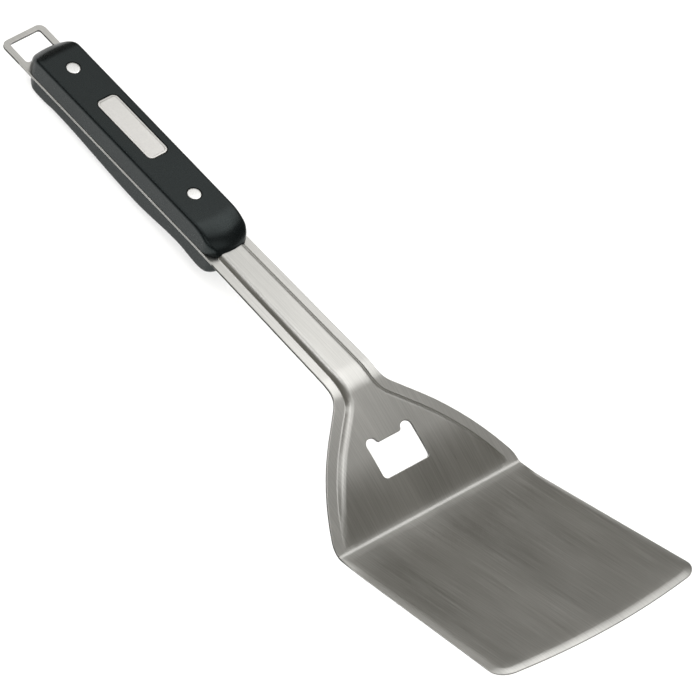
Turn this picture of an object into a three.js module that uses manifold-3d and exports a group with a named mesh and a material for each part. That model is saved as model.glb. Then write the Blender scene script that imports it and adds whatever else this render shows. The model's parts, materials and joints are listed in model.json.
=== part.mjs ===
// Grill spatula: one stamped steel turner with a riveted two-scale handle.
//
// Millimetres, +Z up. +X runs from the hang loop to the blade and +Y is across. The part lies the
// way it rests on a table, on the heel under the blade and on the butt of the handle, with the
// origin on the table under the middle of its outline.

import * as THREE from "three";
import { mergeVertices } from "three/addons/utils/BufferGeometryUtils.js";
import Module from "manifold-3d";

const wasm = await Module();
wasm.setup();

const { degToRad, lerp, smoothstep } = THREE.MathUtils;

// ---------------------------------------------------------------- driving dimensions

const sheet = 1.5; // thickness of the stamped steel
const seamGap = 0.2; // between the tang and each handle scale
const fitGap = 0.3; // around everything let into a hole or a recess
const chordError = 0.06; // the most a chord of the outline strays from its arc

const blade = {
  length: 131.5, // crease to the middle of the front edge
  sweepLength: 20, // it goes on curving gently this far past the crease
  sweepTurn: degToRad(3.8),
  rearHalfWidth: 61,
  flare: degToRad(2.9), // each side edge opens by this much towards the front
  frontRadius: 385, // bow of the front edge, in plan
  cornerRadius: 9,
  bevelWidth: 5,
  bevelDepth: 0.8,
  bevelRunIn: 12, // the bevel reaches its full depth this far past the crease
};

const neck = {
  length: 77, // crest to crease
  pitch: degToRad(41), // climb away from the blade
  creaseRadius: 4.5,
  crestRadius: 34,
  straightAtCrease: 2, // the outline, from the crease back to the shank
  heelRadius: 18,
  heelTurn: degToRad(21.8),
  flankRadius: 150,
  flankTurn: degToRad(21.2),
  waistRadius: 14,
};

const shank = {
  length: 265.5, // loop end to crest
  pitch: degToRad(18),
  crestHalfWidth: 15.4,
  tangHalfWidth: 13.8,
  taperLength: 110,
};

const emboss = {
  height: 2.5,
  shankRim: 5, // flat margin between the outline and the foot of the raised panel
  neckRim: 5.8,
  wallWidth: 2,
  fadeStart: 3, // the panel rises between these distances behind the crease
  fadeEnd: 38,
  rearEnd: 153, // and sinks away between these distances from the loop end
  rearFull: 163,
};

// Handle positions are measured along the tang from the rear end of the hang loop.
const loop = { endBar: 3, length: 14.5, halfWidth: 10.1, innerRadius: 1.6, outerRadius: 4 };

const scales = {
  halfWidth: 13.6,
  edgeRadius: 2,
};

// In side view each end is a quarter ellipse. In plan its middle stands out by the bow and each of
// its corners is rounded.
const upper = {
  thickness: () => 11.8,
  rear: { at: 16.5, length: 13, bow: 2, corner: 10 },
  front: { at: 171, length: 19, bow: 3, corner: 6.5 },
};

const lower = {
  thickness: grooveDepth,
  rear: { at: 18.5, length: 14, bow: 2, corner: 10 },
  front: { at: 174, length: 12, bow: 1, corner: 6.5 },
};

// Thickness of the lower scale at its swells and finger grooves: [distance from loop end, depth].
const grooves = [
  [37, 7.7],
  [45.5, 7],
  [113, 10.7],
  [144.5, 8.7],
  [162, 10.3],
];

const rivet = {
  stations: { rear: 39.2, front: 136.6 },
  headRadius: 3.75,
  headThickness: 1.6,
  tubeRadius: 2.6,
  boreRadius: 1.7,
  pinRadius: 1.4,
};

const plate = {
  centre: 85.5,
  offset: 1.2, // sits this far to the +Y side of the handle's middle
  length: 44.4,
  width: 13.2,
  cornerRadius: 3.2,
  thickness: 1.3,
  tapeThickness: 0.4,
  layerGap: 0.1,
};

// Bottle opener in the neck; distances behind the crease.
const opener = {
  hookEdge: 23.9,
  tongueEdge: 42.2,
  earEnd: 45.8,
  halfWidth: 15.2,
  tongueHalfWidth: 8,
  cornerRadius: 2.4,
  tongueRadius: 1.6,
  earRadius: 3.2,
};

// ---------------------------------------------------------------- materials

const steel = new THREE.MeshStandardMaterial({ color: 0xa8a59e, roughness: 0.34, metalness: 1 });
const resin = new THREE.MeshStandardMaterial({ color: 0x161819, roughness: 0.55, metalness: 0 });
const polished = new THREE.MeshStandardMaterial({ color: 0xd8d6d2, roughness: 0.22, metalness: 1 });
const satin = new THREE.MeshStandardMaterial({ color: 0xcfccc6, roughness: 0.4, metalness: 1 });
const film = new THREE.MeshStandardMaterial({ color: 0xb9b6a8, roughness: 0.9, metalness: 0 });

// ---------------------------------------------------------------- mesh helpers

// Merges shared corners and drops the slivers that collapse onto an edge.
function weld(geometry) {
  const bare = geometry.index ? geometry.toNonIndexed() : geometry;
  bare.deleteAttribute("normal");
  bare.deleteAttribute("uv");
  const merged = mergeVertices(bare, 1e-3);
  const corners = merged.index.array;
  const kept = [];
  for (let i = 0; i < corners.length; i += 3) {
    const [a, b, c] = [corners[i], corners[i + 1], corners[i + 2]];
    if (a !== b && b !== c && c !== a) kept.push(a, b, c);
  }
  merged.setIndex(kept);
  return merged;
}

function toSolid(geometry) {
  const welded = weld(geometry);
  const vertProperties = new Float32Array(welded.attributes.position.array);
  const triVerts = new Uint32Array(welded.index.array);
  return new wasm.Manifold(new wasm.Mesh({ numProp: 3, vertProperties, triVerts }));
}

function toGeometry(solid) {
  const { vertProperties, triVerts } = solid.getMesh();
  const geometry = new THREE.BufferGeometry();
  geometry.setAttribute("position", new THREE.BufferAttribute(vertProperties, 3));
  geometry.setIndex(new THREE.BufferAttribute(triVerts, 1));
  geometry.computeVertexNormals();
  return geometry;
}

function cut(geometry, cutters) {
  const body = cutters.reduce((left, cutter) => left.subtract(toSolid(cutter)), toSolid(geometry));
  return toGeometry(body);
}

// One closed solid between two grids of points. Rows run along +X, columns along +Y.
function solidBetween(top, bottom) {
  const positions = [];
  const quad = (a, b, c, d) => {
    for (const corner of [a, b, c, a, c, d]) positions.push(corner.x, corner.y, corner.z);
  };
  const lastRow = top.length - 1;
  const lastColumn = top[0].length - 1;
  for (let j = 0; j < lastRow; j++) {
    for (let k = 0; k < lastColumn; k++) {
      quad(top[j][k], top[j + 1][k], top[j + 1][k + 1], top[j][k + 1]);
      quad(bottom[j][k], bottom[j][k + 1], bottom[j + 1][k + 1], bottom[j + 1][k]);
    }
    quad(bottom[j][0], bottom[j + 1][0], top[j + 1][0], top[j][0]);
    quad(bottom[j + 1][lastColumn], bottom[j][lastColumn], top[j][lastColumn], top[j + 1][lastColumn]);
  }
  for (let k = 0; k < lastColumn; k++) {
    quad(bottom[0][k + 1], bottom[0][k], top[0][k], top[0][k + 1]);
    quad(bottom[lastRow][k], bottom[lastRow][k + 1], top[lastRow][k + 1], top[lastRow][k]);
  }
  const geometry = new THREE.BufferGeometry();
  geometry.setAttribute("position", new THREE.Float32BufferAttribute(positions, 3));
  const welded = weld(geometry);
  welded.computeVertexNormals();
  return welded;
}

function roundedRectangle(width, height, radius) {
  const shape = new THREE.Shape();
  const x = width / 2 - radius;
  const y = height / 2 - radius;
  shape.absarc(x, y, radius, 0, Math.PI / 2);
  shape.absarc(-x, y, radius, Math.PI / 2, Math.PI);
  shape.absarc(-x, -y, radius, Math.PI, 1.5 * Math.PI);
  shape.absarc(x, -y, radius, 1.5 * Math.PI, 2 * Math.PI);
  return shape;
}

function slab(shape, depth, curveSegments = 5) {
  return new THREE.ExtrudeGeometry(shape, { depth, curveSegments, bevelEnabled: false });
}

// An upright cylinder centred on (x, y) between two heights.
function post(x, y, radius, low, high) {
  const geometry = new THREE.CylinderGeometry(radius, radius, high - low, 24);
  return geometry.rotateX(Math.PI / 2).translate(x, y, (low + high) / 2);
}

// How far a surface has drawn in at distance t from its end, for an elliptical end.
function endInset(t, length, depth) {
  if (t >= length) return 0;
  const left = (length - Math.max(t, 0)) / length;
  return depth * (1 - Math.sqrt(1 - left * left));
}

// ---------------------------------------------------------------- lines made of tangent arcs

// Point at a distance along a chain of runs. A run is straight, or an arc with a turn in radians;
// a run of no length is a corner.
function chainPoint(runs, start, distance) {
  let { x, y, heading } = start;
  let left = distance;
  for (const { length, turn = 0 } of runs) {
    const part = length > 0 ? Math.min(left / length, 1) : 1;
    const next = heading + turn * part;
    if (length > 0 && turn !== 0) {
      const radius = length / turn;
      x += radius * (Math.sin(next) - Math.sin(heading));
      y -= radius * (Math.cos(next) - Math.cos(heading));
    } else {
      x += length * part * Math.cos(heading);
      y += length * part * Math.sin(heading);
    }
    heading = next;
    left -= length;
    if (left <= 0) break;
  }
  return { x, y, heading };
}

const arc = (radius, turn) => ({ length: radius * Math.abs(turn), turn });

// The steel seen from the side, rear to front, with the blade level: z is called y here.
const crestArc = arc(neck.crestRadius, shank.pitch - neck.pitch);
const creaseArc = arc(neck.creaseRadius, neck.pitch - blade.sweepTurn);
const sideRuns = [
  { length: shank.length - crestArc.length / 2 },
  crestArc,
  { length: neck.length - (crestArc.length + creaseArc.length) / 2 },
  creaseArc,
  { length: blade.sweepLength, turn: blade.sweepTurn },
  { length: blade.length - blade.sweepLength - creaseArc.length / 2 },
];
const rearEnd = -(neck.length + shank.length);
const sideStart = { x: 0, y: 0, heading: -shank.pitch };
const crease = chainPoint(sideRuns, sideStart, -rearEnd);

// s is the distance along the steel from the crease, positive towards the front edge.
function sideView(s) {
  const point = chainPoint(sideRuns, sideStart, s - rearEnd);
  return { x: point.x - crease.x, z: point.y - crease.y, heading: point.heading };
}

function onSteel(s, y, height) {
  const { x, z, heading } = sideView(s);
  return new THREE.Vector3(x - height * Math.sin(heading), y, z + height * Math.cos(heading));
}

// The outline of one side in the flat, rear to front: x is s and y is the half width.
const taperAngle = Math.atan((shank.crestHalfWidth - shank.tangHalfWidth) / shank.taperLength);
const flankAngle = neck.heelTurn + neck.flankTurn;
const waistTurn = flankAngle - taperAngle;

function outlineRuns() {
  const outer = loop.outerRadius;
  const heelArc = arc(neck.heelRadius, -neck.heelTurn);
  const flankArc = arc(neck.flankRadius, -neck.flankTurn);
  const waistArc = arc(neck.waistRadius, waistTurn);
  const arcSpan = (radius, from, to) => radius * (Math.sin(from) - Math.sin(to));
  const arcRise = (radius, from, to) => radius * (Math.cos(to) - Math.cos(from));
  const rise =
    arcRise(neck.heelRadius, flankAngle - neck.flankTurn, 0) +
    arcRise(neck.flankRadius, flankAngle, neck.heelTurn) +
    arcRise(neck.waistRadius, flankAngle, taperAngle);
  const straightRise = blade.rearHalfWidth - shank.crestHalfWidth - rise;
  const straight = straightRise / Math.sin(flankAngle);
  const span =
    neck.straightAtCrease +
    arcSpan(neck.heelRadius, neck.heelTurn, 0) +
    arcSpan(neck.flankRadius, flankAngle, neck.heelTurn) +
    straight * Math.cos(flankAngle) +
    arcSpan(neck.waistRadius, flankAngle, taperAngle);
  const tangRun = -rearEnd - span - outer - shank.taperLength;
  const sideSpan = blade.length - blade.cornerRadius * (1 + Math.sin(blade.flare));
  return [
    arc(outer, -Math.PI / 2),
    { length: tangRun },
    { length: 0, turn: taperAngle },
    { length: shank.taperLength / Math.cos(taperAngle) },
    waistArc,
    { length: straight },
    flankArc,
    heelArc,
    { length: neck.straightAtCrease },
    { length: 0, turn: blade.flare },
    { length: sideSpan / Math.cos(blade.flare) },
    arc(blade.cornerRadius, -(Math.PI / 2 + blade.flare)),
  ];
}

// Samples the outline at even steps along each run. A corner has no length and adds no sample.
function sampleOutline() {
  const runs = outlineRuns();
  const start = { x: rearEnd, y: shank.tangHalfWidth - loop.outerRadius, heading: Math.PI / 2 };
  const samples = [{ ...start }];
  let covered = 0;
  for (const { length, turn = 0 } of runs) {
    // A chord strays from its arc by its own length times its turn, over eight.
    const round = Math.sqrt((length * Math.abs(turn)) / (8 * chordError));
    const steps = Math.ceil(Math.max(length / 60, round));
    for (let i = 1; i <= steps; i++) {
      samples.push(chainPoint(runs, start, covered + (length * i) / steps));
    }
    covered += length;
  }
  return samples;
}

const outline = sampleOutline();

function outlineAt(s) {
  const last = outline.length - 1;
  const found = outline.findIndex((sample) => sample.x >= s - 1e-6);
  const i = found < 0 ? last : Math.max(found, 1);
  const [a, b] = [outline[i - 1], outline[i]];
  const t = THREE.MathUtils.clamp((s - a.x) / (b.x - a.x), 0, 1);
  return { halfWidth: lerp(a.y, b.y, t), heading: lerp(a.heading, b.heading, t) };
}

// ---------------------------------------------------------------- stamped body

// The panel starts to rise with a slope at the crease and levels out at its full height.
function embossFade(s) {
  const { fadeStart, fadeEnd } = emboss;
  const rise = THREE.MathUtils.clamp((-s - fadeStart) / (fadeEnd - fadeStart), 0, 1);
  const front = rise * (2 - rise);
  const rear = smoothstep(s - rearEnd, emboss.rearEnd, emboss.rearFull);
  return front * rear;
}

// How far the ground bevel lowers the top of the blade at a point.
function bevelDrop(s, y, halfWidth) {
  if (s <= 0) return 0;
  const side = 1 - (halfWidth - Math.abs(y)) / blade.bevelWidth;
  const front = 1 - (blade.length - s) / blade.bevelWidth;
  const depth = blade.bevelDepth * Math.min(s / blade.bevelRunIn, 1);
  return depth * THREE.MathUtils.clamp(Math.max(side, front), 0, 1);
}

// Half widths of one cross-section: edge, margin line, top of the panel's wall, quarter, middle.
function sectionColumns(s, wallShift) {
  const { halfWidth, heading } = outlineAt(s);
  const fade = embossFade(s);
  const onNeck = smoothstep(s, -neck.length, -neck.length + neck.waistRadius);
  const slant = s < 0 && s > -neck.length ? Math.cos(heading) : 1;
  const margin = lerp(emboss.shankRim, emboss.neckRim, onNeck) / slant;
  const rim = s < 0 ? margin : blade.bevelWidth;
  const foot = halfWidth - rim - wallShift * fade;
  const panel = foot - emboss.wallWidth * fade;
  return [
    { y: halfWidth, lift: 0 },
    { y: foot, lift: 0 },
    { y: panel, lift: emboss.height * fade },
    { y: panel / 2, lift: emboss.height * fade },
    { y: 0, lift: emboss.height * fade },
  ];
}

function sectionRow(s, side, wallShift) {
  const { halfWidth } = outlineAt(s);
  const half = sectionColumns(s, wallShift);
  const mirrored = half.slice(0, -1).map(({ y, lift }) => ({ y: -y, lift }));
  const columns = [...mirrored, ...half.slice().reverse()];
  return columns.map(({ y, lift }) => {
    const drop = side > 0 ? bevelDrop(s, y, halfWidth) : 0;
    const along = Math.max(s / blade.length, 0);
    const bow = (y ** 2 / (2 * blade.frontRadius)) * along ** 3;
    return onSteel(s - bow, y, (side * sheet) / 2 + lift - drop);
  });
}

function bodyStations() {
  const stations = outline.map((sample) => sample.x);
  const span = (from, to, steps) => {
    for (let i = 0; i <= steps; i++) stations.push(lerp(from, to, i / steps));
  };
  span(-creaseArc.length / 2, creaseArc.length / 2, 5);
  span(creaseArc.length / 2, creaseArc.length / 2 + blade.sweepLength, 4);
  span(-neck.length - crestArc.length / 2, -neck.length + crestArc.length / 2, 5);
  span(-emboss.fadeEnd, -emboss.fadeStart, 7);
  span(rearEnd + emboss.rearEnd, rearEnd + emboss.rearFull, 4);
  stations.push(blade.bevelRunIn, blade.length - blade.bevelWidth);
  stations.sort((a, b) => a - b);
  return stations.filter((s, i) => i === 0 || s - stations[i - 1] > 0.2);
}

// Placed so that its own x, y and z run along, across and out of the steel at s.
function frameAt(s) {
  const { x, z, heading } = sideView(s);
  return new THREE.Matrix4().makeRotationY(-heading).setPosition(x, 0, z);
}

// The opening's ears and its tongue meet in an S of two arcs, equally swept.
function openerCutter() {
  const { hookEdge, tongueEdge, earEnd, halfWidth, tongueHalfWidth } = opener;
  const { cornerRadius: corner, tongueRadius: tip, earRadius: ear } = opener;
  const sweep = Math.acos(1 - (earEnd - tongueEdge) / (tip + ear));
  const tipAcross = tongueHalfWidth - tip * Math.sin(sweep);
  const earAcross = tongueHalfWidth + ear * Math.sin(sweep);
  const shape = new THREE.Shape();
  shape.absarc(-hookEdge - corner, halfWidth - corner, corner, 0, Math.PI / 2);
  shape.absarc(-earEnd + ear, halfWidth - ear, ear, Math.PI / 2, Math.PI);
  shape.absarc(-earEnd + ear, earAcross, ear, Math.PI, Math.PI + sweep);
  shape.absarc(-tongueEdge - tip, tipAcross, tip, sweep, 0, true);
  shape.absarc(-tongueEdge - tip, -tipAcross, tip, 0, -sweep, true);
  shape.absarc(-earEnd + ear, -earAcross, ear, Math.PI - sweep, Math.PI);
  shape.absarc(-earEnd + ear, -halfWidth + ear, ear, Math.PI, 1.5 * Math.PI);
  shape.absarc(-hookEdge - corner, -halfWidth + corner, corner, 1.5 * Math.PI, 2 * Math.PI);
  const middle = -(hookEdge + tongueEdge) / 2;
  const depth = 16;
  return slab(shape, depth).translate(-middle, 0, -depth / 2).applyMatrix4(frameAt(middle));
}

function loopCutter() {
  const depth = 8;
  const shape = roundedRectangle(loop.length, 2 * loop.halfWidth, loop.innerRadius);
  const hole = slab(shape, depth).translate(loop.endBar + loop.length / 2, 0, -depth / 2);
  return hole.applyMatrix4(handleFrame());
}

// The handle's frame: x from the loop's rear end along the tang, z out of the middle of the steel.
function handleFrame() {
  return frameAt(rearEnd);
}

function rivetCutter(station) {
  const reach = 4;
  return post(station, 0, rivet.tubeRadius + fitGap, -reach, reach).applyMatrix4(handleFrame());
}

function stampedBody() {
  const stations = bodyStations();
  const wallAngle = Math.atan2(emboss.height, emboss.wallWidth);
  const top = stations.map((s) => sectionRow(s, 1, 0));
  const bottom = stations.map((s) => sectionRow(s, -1, sheet * Math.tan(wallAngle / 2)));
  const holes = Object.values(rivet.stations).map(rivetCutter);
  return cut(solidBetween(top, bottom), [openerCutter(), loopCutter(), ...holes]);
}

// ---------------------------------------------------------------- handle scales

function grooveDepth(x) {
  const last = grooves.length - 1;
  const i = grooves.findIndex(([station]) => station > x);
  if (i === 0) return grooves[0][1];
  if (i < 0) return grooves[last][1];
  const [[x0, depth0], [x1, depth1]] = [grooves[i - 1], grooves[i]];
  return lerp(depth0, depth1, smoothstep(x, x0, x1));
}

function scaleThickness({ thickness, rear, front }, x) {
  const full = thickness(x);
  const drop = endInset(x - rear.at, rear.length, full) + endInset(front.at - x, front.length, full);
  return Math.max(full - drop, 0);
}

function scaleHalfWidth({ rear, front }, x) {
  const tail = endInset(x - rear.at, rear.corner, rear.corner);
  const nose = endInset(front.at - x, front.corner, front.corner);
  return scales.halfWidth - tail - nose;
}

// One cross-section of a scale, as [across, out] pairs over its rounded outer face.
function scaleSection(shape, x) {
  const halfWidth = scaleHalfWidth(shape, x);
  const thickness = scaleThickness(shape, x);
  const radius = Math.min(scales.edgeRadius, thickness);
  const half = [[halfWidth, 0]];
  for (let i = 0; i <= 3; i++) {
    const angle = (Math.PI / 2) * (i / 3);
    const y = halfWidth - radius + radius * Math.cos(angle);
    half.push([y, thickness - radius + radius * Math.sin(angle)]);
  }
  half.push([halfWidth / 2, thickness]);
  const mirrored = half.map(([y, z]) => [-y, z]);
  return [...mirrored, [0, thickness], ...half.reverse()];
}

// Stations crowd towards the two ends, where the surface curves in.
function scaleStations({ rear, front }) {
  const stations = [];
  for (let i = 0; i <= 8; i++) {
    const ease = 1 - Math.cos((Math.PI / 2) * (i / 8));
    stations.push(front.at - front.length * ease, rear.at + rear.length * ease);
  }
  for (let x = rear.at + rear.length; x < front.at - front.length; x += 7) stations.push(x);
  stations.sort((a, b) => a - b);
  return stations.filter((x, i) => i === 0 || x - stations[i - 1] > 0.05);
}

// Draws the sides of each end back, so that the end is bowed in plan.
function bowed({ rear, front }, x, y) {
  const across = (y / scales.halfWidth) ** 2;
  const nose = smoothstep(x, front.at - 2 * front.length, front.at) * front.bow;
  const tail = (1 - smoothstep(x, rear.at, rear.at + rear.length)) * rear.bow;
  return x + (tail - nose) * across;
}

// direction is 1 for the scale on top of the tang and -1 for the one below it.
function scaleSolid(shape, direction) {
  const base = direction * (sheet / 2 + seamGap);
  const outer = [];
  const inner = [];
  for (const x of scaleStations(shape)) {
    const section = scaleSection(shape, x);
    outer.push(section.map(([y, z]) => new THREE.Vector3(bowed(shape, x, y), y, base + direction * z)));
    inner.push(section.map(([y]) => new THREE.Vector3(bowed(shape, x, y), y, base)));
  }
  return direction > 0 ? solidBetween(outer, inner) : solidBetween(inner, outer);
}

const upperFace = sheet / 2 + seamGap + upper.thickness();
const lowerFace = (x) => -(sheet / 2 + seamGap + scaleThickness(lower, x));

function plateRecess() {
  const depth = plate.thickness + plate.tapeThickness + 2 * plate.layerGap;
  const grow = 2 * fitGap;
  const shape = roundedRectangle(plate.length + grow, plate.width + grow, plate.cornerRadius + fitGap);
  return slab(shape, depth + 5).translate(plate.centre, plate.offset, upperFace - depth);
}

// Room over the raised panel, where the nose of the upper scale reaches past the tang.
function panelRelief() {
  const { halfWidth } = outlineAt(rearEnd + upper.front.at);
  const foot = halfWidth - emboss.shankRim + fitGap;
  const low = -1;
  const high = sheet / 2 + emboss.height + fitGap;
  const shape = new THREE.Shape();
  shape.moveTo(-foot, low);
  shape.lineTo(foot, low);
  shape.lineTo(foot, sheet / 2 + fitGap);
  shape.lineTo(foot - emboss.wallWidth + fitGap, high);
  shape.lineTo(-foot + emboss.wallWidth - fitGap, high);
  shape.lineTo(-foot, sheet / 2 + fitGap);
  const start = emboss.rearEnd - fitGap;
  const prism = slab(shape, upper.front.at + 5 - start);
  // Stand the profile up: its x becomes across, its y up and its depth along the handle.
  const along = new THREE.Matrix4().makeBasis(
    new THREE.Vector3(0, 1, 0),
    new THREE.Vector3(0, 0, 1),
    new THREE.Vector3(1, 0, 0)
  );
  return prism.applyMatrix4(along).translate(start, 0, 0);
}

function rivetSeat(station, face, direction) {
  const floor = face - direction * (rivet.headThickness + fitGap);
  const past = face + direction * 3;
  const bore = post(station, 0, rivet.tubeRadius + fitGap, Math.min(0, past), Math.max(0, past));
  const low = Math.min(floor, past);
  const high = Math.max(floor, past);
  return [bore, post(station, 0, rivet.headRadius + fitGap, low, high)];
}

function upperScale() {
  const seats = Object.values(rivet.stations).flatMap((x) => rivetSeat(x, upperFace, 1));
  return cut(scaleSolid(upper, 1), [plateRecess(), panelRelief(), ...seats]);
}

function lowerScale() {
  const seats = Object.values(rivet.stations).flatMap((x) => rivetSeat(x, lowerFace(x), -1));
  return cut(scaleSolid(lower, -1), seats);
}

// ---------------------------------------------------------------- fasteners and name plate

// A profile of [radius, height] points turned about the upright line through a station.
function turned(profile, station) {
  const points = profile.map(([radius, height]) => new THREE.Vector2(radius, height));
  const geometry = new THREE.LatheGeometry(points, 24).rotateX(Math.PI / 2);
  const welded = weld(geometry.translate(station, 0, 0));
  welded.computeVertexNormals();
  return welded;
}

// The half with the tube: its head is let into the upper scale.
function rivetTube(station) {
  const { headRadius, headThickness, tubeRadius, boreRadius } = rivet;
  const end = lowerFace(station) + headThickness + fitGap + 1;
  const roof = upperFace - headThickness;
  const profile = [
    [0, roof],
    [boreRadius, roof],
    [boreRadius, end],
    [tubeRadius, end],
    [tubeRadius, roof],
    [headRadius, roof],
    [headRadius, upperFace],
    [0, upperFace],
  ];
  return turned(profile, station);
}

// The half with the pin: its head is let into the lower scale.
function rivetPin(station) {
  const { headRadius, headThickness, pinRadius } = rivet;
  const face = lowerFace(station);
  const tip = upperFace - headThickness - 1;
  const profile = [
    [0, face],
    [headRadius, face],
    [headRadius, face + headThickness],
    [pinRadius, face + headThickness],
    [pinRadius, tip],
    [0, tip],
  ];
  return turned(profile, station);
}

function plateLayer(low, thickness, inset) {
  const radius = plate.cornerRadius - inset / 2;
  const shape = roundedRectangle(plate.length - inset, plate.width - inset, radius);
  return slab(shape, thickness).translate(plate.centre, plate.offset, low);
}

function namePlate() {
  return plateLayer(upperFace - plate.thickness, plate.thickness, 0);
}

function plateTape() {
  const low = upperFace - plate.thickness - plate.layerGap - plate.tapeThickness;
  return plateLayer(low, plate.tapeThickness, 1);
}

// ---------------------------------------------------------------- assembly

function named(name, geometry, material) {
  const mesh = new THREE.Mesh(geometry, material);
  mesh.name = name;
  return mesh;
}

// The handle's pieces, in the handle's own frame.
function handle() {
  const group = new THREE.Group();
  group.add(named("upper_scale", upperScale(), resin));
  group.add(named("lower_scale", lowerScale(), resin));
  for (const [place, station] of Object.entries(rivet.stations)) {
    group.add(named(`${place}_rivet_tube`, rivetTube(station), polished));
    group.add(named(`${place}_rivet_pin`, rivetPin(station), polished));
  }
  group.add(named("name_plate", namePlate(), satin));
  group.add(named("name_plate_tape", plateTape(), film));
  const { x, z, heading } = sideView(rearEnd);
  group.position.set(x, 0, z);
  group.rotation.y = -heading;
  return group;
}

// The tilt at which the heel and the butt touch the table together, from the level-blade frame.
function restingTilt() {
  const heelRadius = neck.creaseRadius + sheet / 2;
  const centre = onSteel(-creaseArc.length / 2, 0, neck.creaseRadius);
  const frame = handleFrame();
  const tilts = scaleStations(lower).map((x) => {
    const point = new THREE.Vector3(x, 0, lowerFace(x)).applyMatrix4(frame);
    const back = centre.x - point.x;
    const rise = point.z - centre.z;
    return Math.atan2(rise, back) + Math.asin(heelRadius / Math.hypot(back, rise));
  });
  return Math.min(...tilts);
}

const turner = new THREE.Group();
turner.add(named("turner_body", stampedBody(), steel), handle());
turner.rotation.y = -restingTilt();

const spatula = new THREE.Group();
spatula.add(turner);
spatula.updateMatrixWorld(true);
const bounds = new THREE.Box3().setFromObject(spatula, true);
turner.position.x = -(bounds.min.x + bounds.max.x) / 2;
turner.position.z = -bounds.min.z;

export default spatula;
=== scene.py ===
"""Looks of the grill spatula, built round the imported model, in the model's frame.

Shapes are worked out in millimetres in a level frame, with the blade lying flat and the origin at
its crease, and then laid down in the model's frame. s runs along the steel from the crease, forward
positive; y runs across it; height stands out of its middle surface.
"""

import json
import math

import bmesh
import bpy
import numpy as np
from mathutils import Matrix, Vector
from mathutils.geometry import delaunay_2d_cdt


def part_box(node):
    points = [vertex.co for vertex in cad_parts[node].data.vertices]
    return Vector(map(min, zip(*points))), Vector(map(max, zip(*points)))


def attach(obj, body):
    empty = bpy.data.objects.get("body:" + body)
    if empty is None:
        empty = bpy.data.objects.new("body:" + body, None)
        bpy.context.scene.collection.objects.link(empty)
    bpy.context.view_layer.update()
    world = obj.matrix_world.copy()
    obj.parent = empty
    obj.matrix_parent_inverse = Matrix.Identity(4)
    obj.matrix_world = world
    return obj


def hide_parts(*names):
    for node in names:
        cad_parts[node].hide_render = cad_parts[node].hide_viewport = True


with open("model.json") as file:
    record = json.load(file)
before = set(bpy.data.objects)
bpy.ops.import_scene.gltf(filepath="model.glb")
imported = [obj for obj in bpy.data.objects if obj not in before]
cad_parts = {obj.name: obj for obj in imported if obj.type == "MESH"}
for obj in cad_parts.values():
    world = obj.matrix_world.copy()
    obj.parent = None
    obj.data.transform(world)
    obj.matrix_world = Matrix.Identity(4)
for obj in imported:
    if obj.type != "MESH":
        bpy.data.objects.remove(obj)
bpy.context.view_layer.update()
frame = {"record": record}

# ---------------------------------------------------------------- dimensions, as the model has them

SHEET = 1.5
SEAM_GAP = 0.2
FIT_GAP = 0.3
STEEL_EDGE = 0.22  # radius on the edges of the sheet

BLADE_LENGTH = 131.5
BLADE_HALF_WIDTH = 61.0
BLADE_FLARE = math.radians(2.9)
BLADE_CORNER = 9.0
BLADE_SWEEP = (20.0, math.radians(3.8))  # length and turn of its gentle curve past the crease
FRONT_RADIUS = 385.0
BEVEL_WIDTH = (2.8, 5.2)  # of the ground edge, near the crease and at the front
BEVEL_DEPTH = 0.8
BEVEL_ROLL = 1.4  # above 1, the ground face curves over more and more towards the edge
BEVEL_RUN_IN = 12.0  # from the crease to where the ground edge has its full depth

NECK_LENGTH = 77.0
NECK_PITCH = math.radians(41)
CREASE_RADIUS = 4.5
CREST_RADIUS = 34.0
HEEL = (18.0, math.radians(21.8))  # radius and turn of each arc of the outline
FLANK = (150.0, math.radians(21.2))
WAIST_RADIUS = 14.0

SHANK_LENGTH = 265.5
SHANK_PITCH = math.radians(18)
CREST_HALF_WIDTH = 15.4
TANG_HALF_WIDTH = 13.8
TAPER_LENGTH = 110.0

PANEL_HEIGHT = 2.5
PANEL_WALL = 3.8  # width of the panel's side wall
WALL_FOOT = 0.06  # softness of the wall's foot, as a share of its width
WALL_ROUND = 2.1  # above 1, the wall turns over into the panel in a longer round
PANEL_MARGIN = (5.0, 5.8)  # on the shank and on the neck
PANEL_FADE = (3.0, 38.0)  # behind the crease
PANEL_REAR = (153.0, 163.0)  # from the loop's end

LOOP = {"end_bar": 3.0, "length": 14.5, "half_width": 10.1, "inner": 1.6, "outer": 4.0}
OPENER = {"hook": 23.9, "tongue": 42.2, "ear": 45.8, "half_width": 15.2, "tongue_half": 8.0}
OPENER_RADII = {"corner": 2.4, "tip": 1.6, "ear": 3.2}

SCALE_HALF_WIDTH = 13.6
# Place and length of each end, its bow in plan and the radius of its corners.
UPPER = {"rear": (16.5, 13.0, 2.0, 10.0), "front": (171.0, 19.0, 3.0, 6.5)}
LOWER = {"rear": (18.5, 14.0, 2.0, 10.0), "front": (174.0, 12.0, 1.0, 6.5)}
UPPER_THICKNESS = 11.8
GROOVES = [(37.0, 7.7), (45.5, 7.0), (113.0, 10.7), (144.5, 8.7), (162.0, 10.3)]

RIVETS = {"rear": 39.2, "front": 136.6}
RIVET_HEAD = 3.75
RIVET_TUBE = 2.6
RIVET_HEAD_THICKNESS = 1.6

PLATE = {"centre": 85.5, "offset": 1.2, "length": 44.4, "width": 13.2, "corner": 3.2}
PLATE_THICKNESS = 1.3
TAPE_THICKNESS = 0.4
LAYER_GAP = 0.1
PLATE_GAP = 0.35

REAR_END = -(NECK_LENGTH + SHANK_LENGTH)

# ---------------------------------------------------------------- lines made of tangent arcs


def arc(radius, turn):
    """A run of an arc as (length, turn)."""
    return radius * abs(turn), turn


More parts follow.
